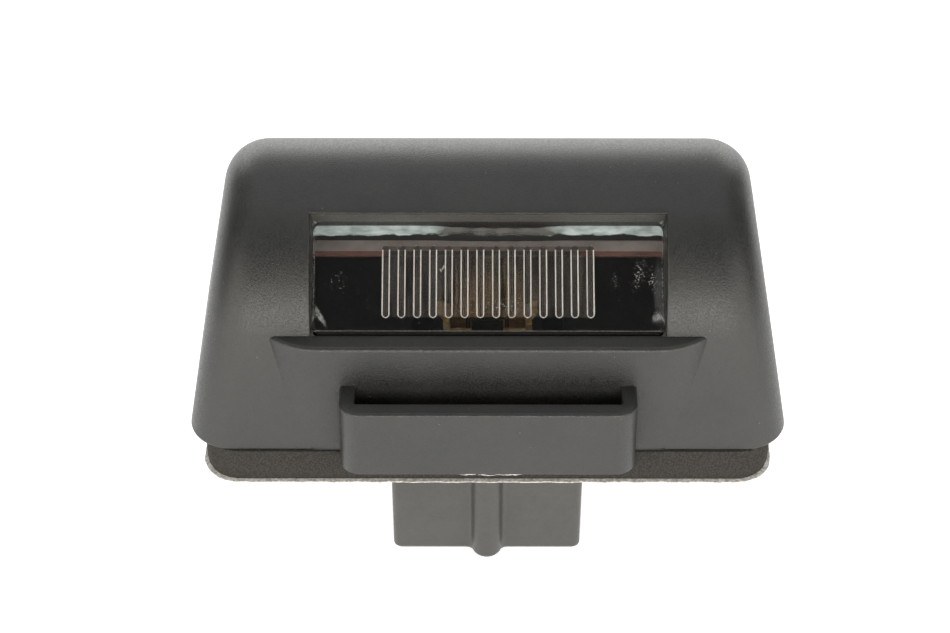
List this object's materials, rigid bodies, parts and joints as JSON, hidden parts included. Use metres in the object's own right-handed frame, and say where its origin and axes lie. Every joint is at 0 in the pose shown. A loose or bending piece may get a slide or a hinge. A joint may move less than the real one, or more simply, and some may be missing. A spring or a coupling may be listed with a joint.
{
  "type": "number plate lamp",
  "caption": "Vehicle number plate lamp: domed moulded housing with a fluted clear window, a wedge bulb inside, a foam gasket and a connector tower that passes through the panel.",
  "frame": {"origin": "centre of the panel cut-out, in the plane where the gasket's release paper meets the panel", "axes": "+X along the lamp's width, to the viewer's right; -Y towards the number plate side, which the window and the pocket face; +Z out of the panel, from the panel towards the dome"},
  "size_m": [0.076, 0.0467, 0.0597],
  "materials": {
    "black_housing_plastic": "fine-grained moulded",
    "black_base_plastic": "smooth moulded",
    "clear_lens_plastic": "polished clear",
    "stamped_brass": "stamped",
    "clear_bulb_glass": "clear",
    "lead_wire": "drawn wire",
    "tungsten_coil": "drawn wire",
    "spring_steel": "rolled strip",
    "foam_rubber": "open foam",
    "release_paper": "coated"
  },
  "bodies": {
    "root": {"housing": "black_housing_plastic", "lens": "clear_lens_plastic", "base": "black_base_plastic", "contact_left": "stamped_brass", "contact_right": "stamped_brass", "bulb_glass": "clear_bulb_glass", "bulb_lead_left": "lead_wire", "bulb_lead_right": "lead_wire", "bulb_filament": "tungsten_coil", "spring_clip": "spring_steel", "gasket": "foam_rubber", "release_liner": "release_paper"}
  },
  "joints": []
}
